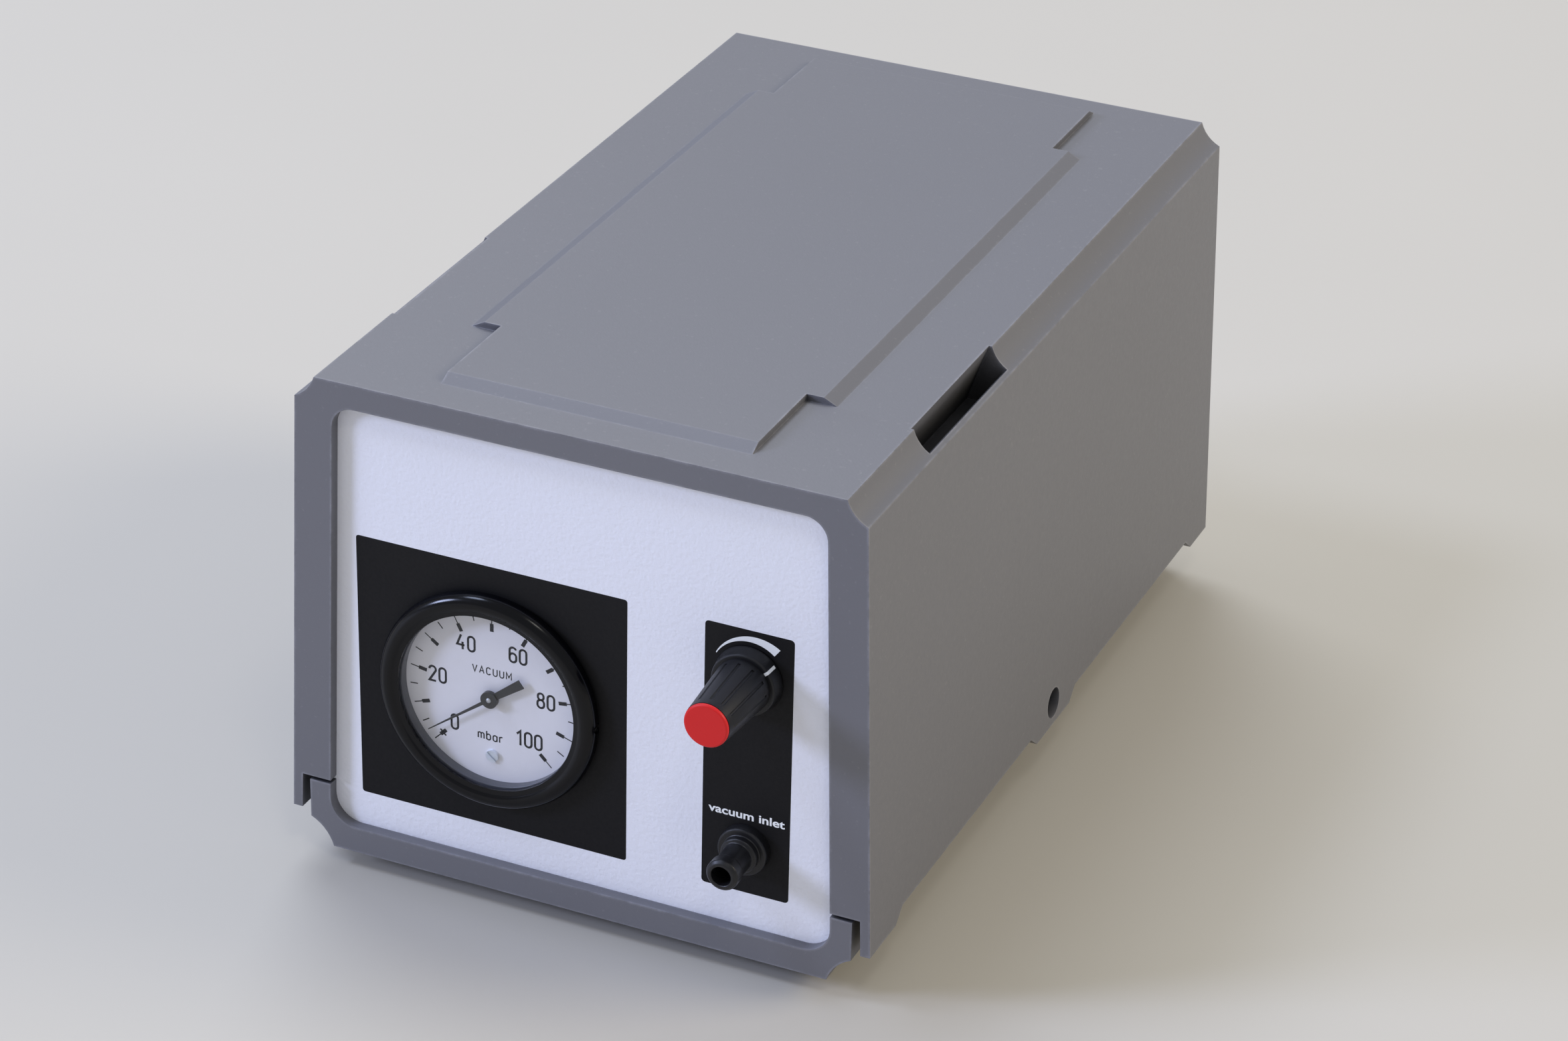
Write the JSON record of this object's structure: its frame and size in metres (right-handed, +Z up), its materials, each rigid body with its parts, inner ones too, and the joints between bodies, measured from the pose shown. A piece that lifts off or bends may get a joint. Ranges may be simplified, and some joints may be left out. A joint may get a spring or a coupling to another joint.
{
  "type": "bench vacuum pump",
  "caption": "Bench-top diaphragm vacuum pump in a stackable moulded case with a dial gauge, a bleed regulator knob and a hose nozzle on its recessed front panel.",
  "frame": {"origin": "Centre of the bounding box on the plane that the feet stand on.", "axes": "+X to the right seen from the front, +Y to the rear along the case, +Z up."},
  "size_m": [0.1836, 0.3184, 0.1613],
  "materials": {
    "shell_plastic": "matte",
    "panel_plastic": "satin",
    "black_plastic": "satin",
    "gloss_black": "gloss",
    "black_paint": "satin",
    "rubber": "matte",
    "hose": "satin",
    "steel": "satin",
    "brass": "satin",
    "copper_wire": "satin",
    "sintered_bronze": "matte",
    "red_plastic": "satin",
    "dial_white": "matte",
    "clear_glass": "gloss",
    "cast_aluminium": "matte",
    "magnet": "matte"
  },
  "bodies": {
    "root": {"upper_cover": "shell_plastic", "lower_tray": "shell_plastic", "front_panel": "panel_plastic", "rear_panel": "panel_plastic", "rubber_feet": "rubber", "cover_screws": "black_paint", "lug_inserts": "brass", "gauge_can": "black_paint", "gauge_bezel": "gloss_black", "bezel_screws": "steel", "gauge_glass": "clear_glass", "glass_spacer": "black_plastic", "dial_plate": "dial_white", "dial_set_screw": "steel", "movement_plates": "brass", "movement_pillars": "steel", "pressure_capsule": "brass", "gauge_stem": "brass", "gauge_clamp": "steel", "clamp_nuts": "steel", "regulator_body": "brass", "regulator_nut": "steel", "bleed_filter": "sintered_bronze", "vacuum_inlet": "black_plastic", "exhaust_outlet": "black_plastic", "fitting_nuts": "steel", "hose_manifold": "black_plastic", "inlet_hose": "hose", "regulator_hose": "hose", "gauge_hose": "hose", "pump_hose": "hose", "exhaust_hose": "hose", "chassis_plate": "steel", "chassis_grommets": "rubber", "chassis_screws": "steel", "core_stand": "steel", "magnet_core": "steel", "drive_coil": "copper_wire", "arm_bracket": "steel", "pivot_pin": "steel", "diaphragm": "rubber", "pump_head": "cast_aluminium", "head_screws": "steel", "valve_chest": "black_plastic", "mains_inlet": "black_plastic", "mains_pins": "steel", "switch_frame": "black_plastic"},
    "regulator": {"knob_grip": "black_plastic", "knob_cap": "red_plastic", "knob_skirt": "black_plastic", "knob_collet": "brass", "regulator_spindle": "steel"},
    "sector": {"gear_sector": "brass"},
    "pointer": {"gauge_pointer": "black_paint", "pointer_arbor": "steel"},
    "armature": {"vibrating_arm": "cast_aluminium", "arm_magnet": "magnet", "diaphragm_stud": "steel"},
    "rocker": {"switch_rocker": "gloss_black"},
    "drawer": {"fuse_drawer": "black_plastic"}
  },
  "joints": [
    {"name": "regulator_turn", "type": "hinge", "parent": "root", "child": "regulator", "pos_m": [0.0517, -0.1306, 0.0953], "axis": [0, 1, 0], "range_deg": [-115, 8]},
    {"name": "sector_turn", "type": "hinge", "parent": "root", "child": "sector", "pos_m": [-0.0281, -0.1246, 0.04765], "axis": [0, 1, 0], "range_deg": [-29.11, 0.89]},
    {"name": "pointer_turn", "type": "hinge", "parent": "root", "child": "pointer", "pos_m": [-0.0281, -0.1286, 0.0679], "axis": [0, 1, 0], "range_deg": [-8, 262]},
    {"name": "arm_swing", "type": "hinge", "parent": "root", "child": "armature", "pos_m": [0.0117, 0.1, 0.052], "axis": [0, 0, 1], "range_deg": [-2, 2], "stiffness_Nm_per_rad": 20, "deforming": ["diaphragm"]},
    {"name": "switch_rock", "type": "hinge", "parent": "root", "child": "rocker", "pos_m": [-0.001, 0.1383, 0.046], "axis": [1, 0, 0], "range_deg": [-16, 0]},
    {"name": "drawer_slide", "type": "slide", "parent": "root", "child": "drawer", "axis": [0, 1, 0], "range_m": [0, 0.018]}
  ],
  "couplings": [
    {"joint": "pointer_turn", "follows": "sector_turn", "ratio": -9}
  ]
}
